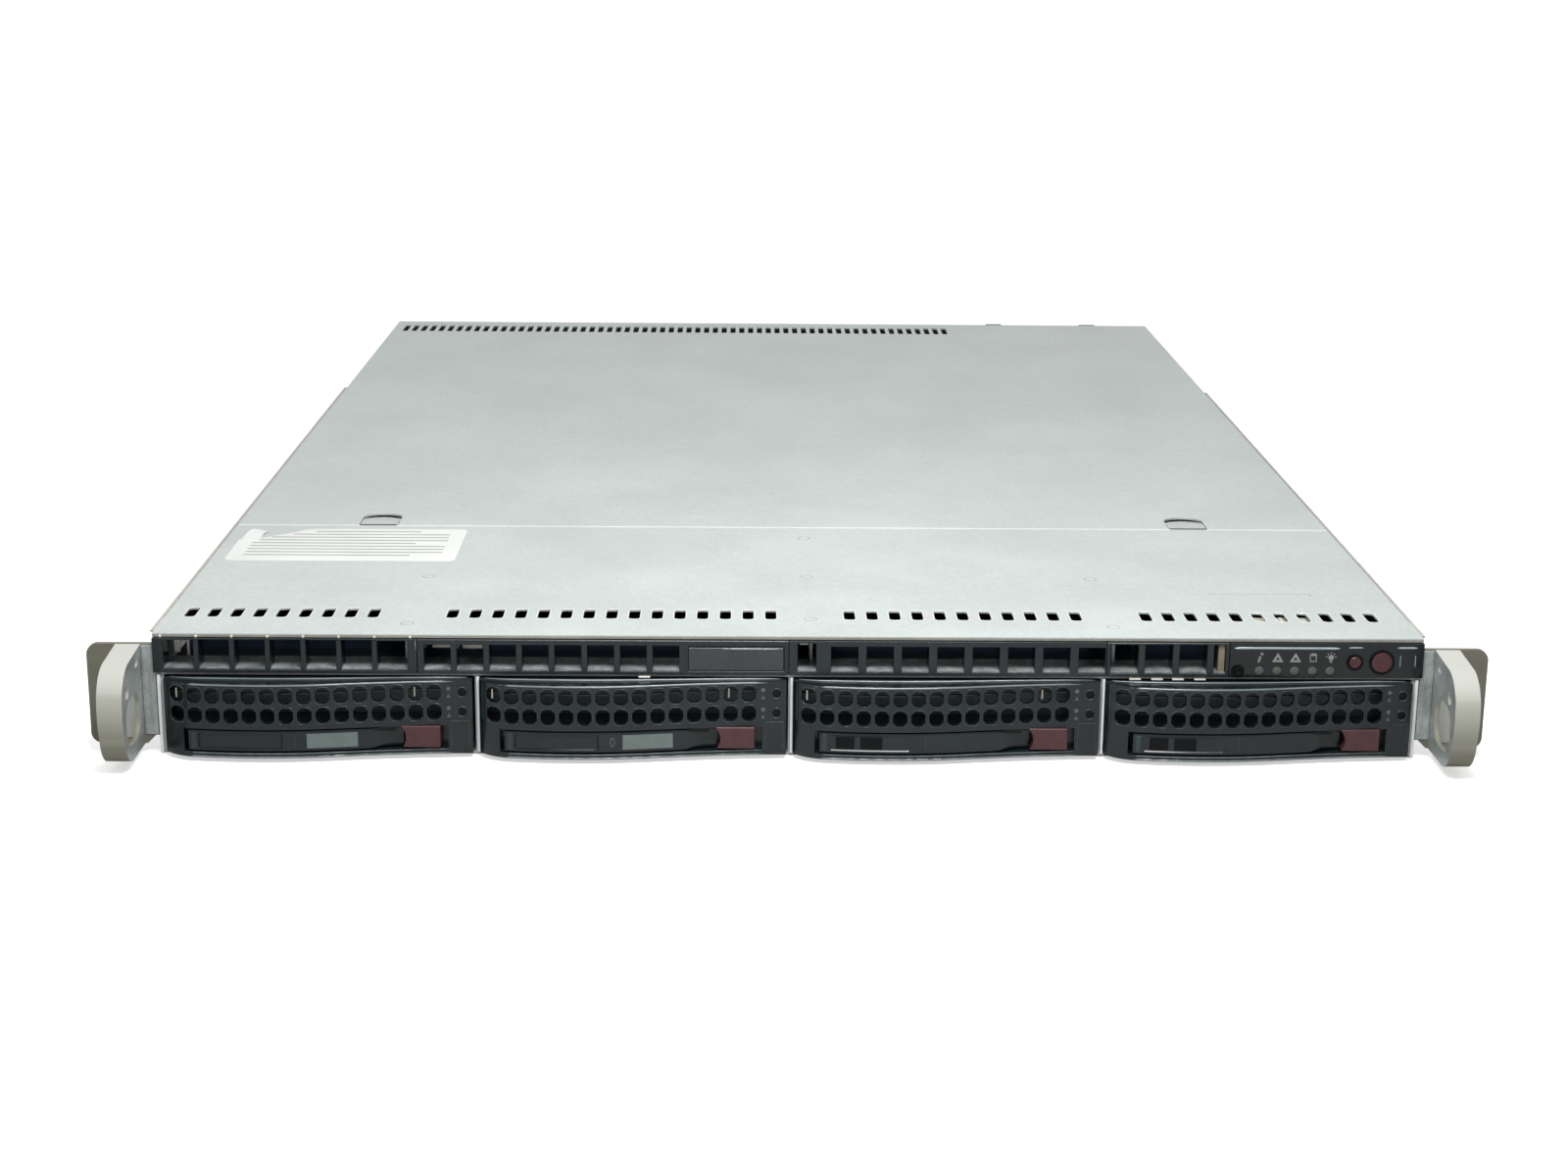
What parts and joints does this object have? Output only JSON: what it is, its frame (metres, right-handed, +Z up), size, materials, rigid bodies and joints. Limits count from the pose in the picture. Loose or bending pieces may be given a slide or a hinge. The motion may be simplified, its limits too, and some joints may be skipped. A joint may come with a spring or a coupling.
{
  "type": "1u rack server",
  "caption": "Flat rack server one unit high, with hot-swap drive carriers, vent bezel, control panel, rack handles, sliding top cover and pull-out power modules.",
  "frame": {"origin": "centre of the chassis floor's underside", "axes": "+X to the right seen from the front, +Y to the rear, +Z up"},
  "size_m": [0.4826, 0.7135, 0.043],
  "materials": {
    "zinc_sheet": "zinc-coated steel sheet, satin",
    "cover_sheet": "zinc-coated steel sheet, pale grey, satin",
    "rivet_steel": "plain steel",
    "black_moulding": "black moulded plastic, light sheen",
    "drive_casting": "cast aluminium drive case",
    "maroon_plastic": "maroon moulded plastic",
    "panel_gloss": "glossy black panel",
    "lens_plastic": "unlit grey lenses",
    "circuit_board": "green circuit board",
    "handle_paint": "pale grey paint over metal",
    "rail_steel": "bright zinc-plated steel",
    "fan_plastic": "black fan plastic",
    "brass_posts": "plain brass",
    "heatsink_aluminium": "bare extruded aluminium",
    "memory_board": "green memory boards",
    "clear_shroud": "dark plastic sheet",
    "port_metal": "tinned steel shells",
    "strap_plastic": "dark grey plastic"
  },
  "bodies": {
    "chassis": {"chassis_base": "zinc_sheet", "rear_frame": "zinc_sheet", "front_cover": "cover_sheet", "cover_rivets": "rivet_steel", "drive_cage": "zinc_sheet", "left_vent_bezel": "black_moulding", "middle_vent_bezel": "black_moulding", "right_vent_bezel": "black_moulding", "corner_vent_bezel": "black_moulding", "control_panel": "panel_gloss", "indicator_lenses": "lens_plastic", "control_board": "circuit_board", "left_handle": "handle_paint", "right_handle": "handle_paint", "left_inner_rail": "rail_steel", "right_inner_rail": "rail_steel", "side_screws": "rivet_steel", "drive_backplane": "circuit_board", "fan_frames": "black_moulding", "motherboard": "circuit_board", "board_standoffs": "brass_posts", "processor_heatsinks": "heatsink_aluminium", "memory_modules": "memory_board", "air_shroud": "clear_shroud", "rear_ports": "port_metal", "power_board": "circuit_board"},
    "rear_cover": {"rear_cover": "cover_sheet"},
    "left_cover_latch": {"left_cover_latch": "cover_sheet"},
    "right_cover_latch": {"right_cover_latch": "cover_sheet"},
    "power_button": {"power_button": "maroon_plastic"},
    "reset_button": {"reset_button": "maroon_plastic"},
    "locator_button": {"locator_button": "black_moulding"},
    "carrier_1": {"drive_carrier_1": "black_moulding", "hard_drive_1": "drive_casting"},
    "lever_1": {"carrier_lever_1": "black_moulding"},
    "release_1": {"release_button_1": "maroon_plastic"},
    "carrier_2": {"drive_carrier_2": "black_moulding", "hard_drive_2": "drive_casting"},
    "lever_2": {"carrier_lever_2": "black_moulding"},
    "release_2": {"release_button_2": "maroon_plastic"},
    "carrier_3": {"drive_carrier_3": "black_moulding", "hard_drive_3": "drive_casting"},
    "lever_3": {"carrier_lever_3": "black_moulding"},
    "release_3": {"release_button_3": "maroon_plastic"},
    "carrier_4": {"drive_carrier_4": "black_moulding", "hard_drive_4": "drive_casting"},
    "lever_4": {"carrier_lever_4": "black_moulding"},
    "release_4": {"release_button_4": "maroon_plastic"},
    "fan_1": {"fan_rotor_1": "fan_plastic"},
    "fan_2": {"fan_rotor_2": "fan_plastic"},
    "fan_3": {"fan_rotor_3": "fan_plastic"},
    "fan_4": {"fan_rotor_4": "fan_plastic"},
    "power_module_1": {"power_module_case_1": "zinc_sheet", "power_module_strap_1": "strap_plastic"},
    "module_fan_1": {"power_module_rotor_1": "fan_plastic"},
    "module_latch_1": {"power_module_latch_1": "maroon_plastic"},
    "power_module_2": {"power_module_case_2": "zinc_sheet", "power_module_strap_2": "strap_plastic"},
    "module_fan_2": {"power_module_rotor_2": "fan_plastic"},
    "module_latch_2": {"power_module_latch_2": "maroon_plastic"}
  },
  "joints": [
    {"name": "rear_cover_slide", "type": "slide", "parent": "chassis", "child": "rear_cover", "axis": [0, 1, 0], "range_m": [0, 0.012]},
    {"name": "left_cover_latch_press", "type": "slide", "parent": "rear_cover", "child": "left_cover_latch", "axis": [0, 0, -1], "range_m": [0, 0.002], "stiffness_N_per_m": 300},
    {"name": "right_cover_latch_press", "type": "slide", "parent": "rear_cover", "child": "right_cover_latch", "axis": [0, 0, -1], "range_m": [0, 0.002], "stiffness_N_per_m": 300},
    {"name": "carrier_1_slide", "type": "slide", "parent": "chassis", "child": "carrier_1", "axis": [0, -1, 0], "range_m": [0, 0.15]},
    {"name": "lever_1_swing", "type": "hinge", "parent": "carrier_1", "child": "lever_1", "pos_m": [-0.2049, -0.3305, 0.0076], "axis": [0, 0, -1], "range_deg": [0, 45], "stiffness_Nm_per_rad": 0.01, "springref_deg": 51.57},
    {"name": "release_1_press", "type": "slide", "parent": "carrier_1", "child": "release_1", "axis": [1, 0, 0], "range_m": [0, 0.003], "stiffness_N_per_m": 400},
    {"name": "carrier_2_slide", "type": "slide", "parent": "chassis", "child": "carrier_2", "axis": [0, -1, 0], "range_m": [0, 0.15]},
    {"name": "lever_2_swing", "type": "hinge", "parent": "carrier_2", "child": "lever_2", "pos_m": [-0.0969, -0.3305, 0.0076], "axis": [0, 0, -1], "range_deg": [0, 45], "stiffness_Nm_per_rad": 0.01, "springref_deg": 51.57},
    {"name": "release_2_press", "type": "slide", "parent": "carrier_2", "child": "release_2", "axis": [1, 0, 0], "range_m": [0, 0.003], "stiffness_N_per_m": 400},
    {"name": "carrier_3_slide", "type": "slide", "parent": "chassis", "child": "carrier_3", "axis": [0, -1, 0], "range_m": [0, 0.15]},
    {"name": "lever_3_swing", "type": "hinge", "parent": "carrier_3", "child": "lever_3", "pos_m": [0.0111, -0.3305, 0.0076], "axis": [0, 0, -1], "range_deg": [0, 45], "stiffness_Nm_per_rad": 0.01, "springref_deg": 51.57},
    {"name": "release_3_press", "type": "slide", "parent": "carrier_3", "child": "release_3", "axis": [1, 0, 0], "range_m": [0, 0.003], "stiffness_N_per_m": 400},
    {"name": "carrier_4_slide", "type": "slide", "parent": "chassis", "child": "carrier_4", "axis": [0, -1, 0], "range_m": [0, 0.15]},
    {"name": "lever_4_swing", "type": "hinge", "parent": "carrier_4", "child": "lever_4", "pos_m": [0.1191, -0.3305, 0.0076], "axis": [0, 0, -1], "range_deg": [0, 45], "stiffness_Nm_per_rad": 0.01, "springref_deg": 51.57},
    {"name": "release_4_press", "type": "slide", "parent": "carrier_4", "child": "release_4", "axis": [1, 0, 0], "range_m": [0, 0.003], "stiffness_N_per_m": 400},
    {"name": "power_button_press", "type": "slide", "parent": "chassis", "child": "power_button", "axis": [0, 1, 0], "range_m": [0, 0.001], "stiffness_N_per_m": 600},
    {"name": "reset_button_press", "type": "slide", "parent": "chassis", "child": "reset_button", "axis": [0, 1, 0], "range_m": [0, 0.001], "stiffness_N_per_m": 600},
    {"name": "locator_button_press", "type": "slide", "parent": "chassis", "child": "locator_button", "axis": [0, 1, 0], "range_m": [0, 0.001], "stiffness_N_per_m": 600},
    {"name": "fan_1_spin", "type": "hinge", "parent": "chassis", "child": "fan_1", "pos_m": [-0.1625, -0.12, 0.021], "axis": [0, 1, 0], "continuous": true},
    {"name": "fan_2_spin", "type": "hinge", "parent": "chassis", "child": "fan_2", "pos_m": [-0.0745, -0.12, 0.021], "axis": [0, 1, 0], "continuous": true},
    {"name": "fan_3_spin", "type": "hinge", "parent": "chassis", "child": "fan_3", "pos_m": [0.0135, -0.12, 0.021], "axis": [0, 1, 0], "continuous": true},
    {"name": "fan_4_spin", "type": "hinge", "parent": "chassis", "child": "fan_4", "pos_m": [0.1015, -0.12, 0.021], "axis": [0, 1, 0], "continuous": true},
    {"name": "power_module_1_slide", "type": "slide", "parent": "chassis", "child": "power_module_1", "axis": [0, 1, 0], "range_m": [0, 0.2]},
    {"name": "module_fan_1_spin", "type": "hinge", "parent": "power_module_1", "child": "module_fan_1", "pos_m": [0.12155, 0.312, 0.0212], "axis": [0, 1, 0], "continuous": true},
    {"name": "module_latch_1_press", "type": "slide", "parent": "power_module_1", "child": "module_latch_1", "axis": [-1, 0, 0], "range_m": [0, 0.003], "stiffness_N_per_m": 500},
    {"name": "power_module_2_slide", "type": "slide", "parent": "chassis", "child": "power_module_2", "axis": [0, 1, 0], "range_m": [0, 0.2]},
    {"name": "module_fan_2_spin", "type": "hinge", "parent": "power_module_2", "child": "module_fan_2", "pos_m": [0.17725, 0.312, 0.0212], "axis": [0, 1, 0], "continuous": true},
    {"name": "module_latch_2_press", "type": "slide", "parent": "power_module_2", "child": "module_latch_2", "axis": [-1, 0, 0], "range_m": [0, 0.003], "stiffness_N_per_m": 500}
  ]
}
